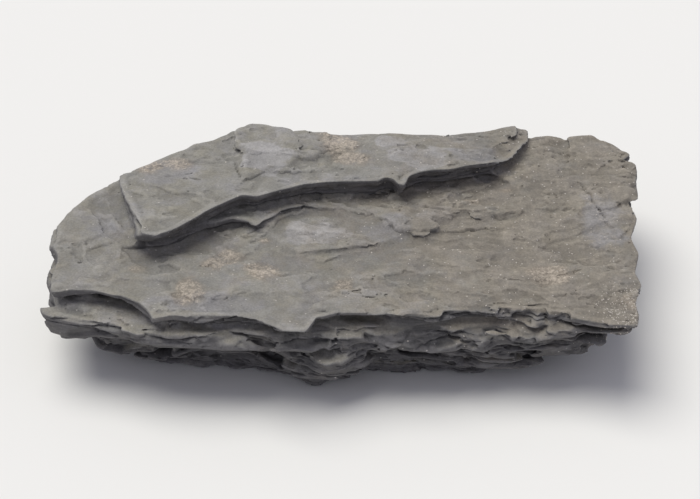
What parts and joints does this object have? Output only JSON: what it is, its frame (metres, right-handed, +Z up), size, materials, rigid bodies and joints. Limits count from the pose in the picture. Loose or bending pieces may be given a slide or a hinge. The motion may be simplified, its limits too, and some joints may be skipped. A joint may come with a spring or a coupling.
{
  "type": "shale specimen",
  "caption": "Broken slab of dark grey shale with thin stacked beds, a raised ledge across the top and a ragged stepped edge, lying flat.",
  "frame": {"origin": "on the floor, under the middle of the slab's bounding box", "axes": "+X along the slab's length, +Y from the stepped front edge to the back edge, +Z up, square to the beds"},
  "size_m": [0.161, 0.0904, 0.035],
  "materials": {
    "shale": "dull, fine-grained dark grey shale with brown dust on the bedding plane"
  },
  "bodies": {
    "root": {"shale_slab": "shale"}
  },
  "joints": []
}
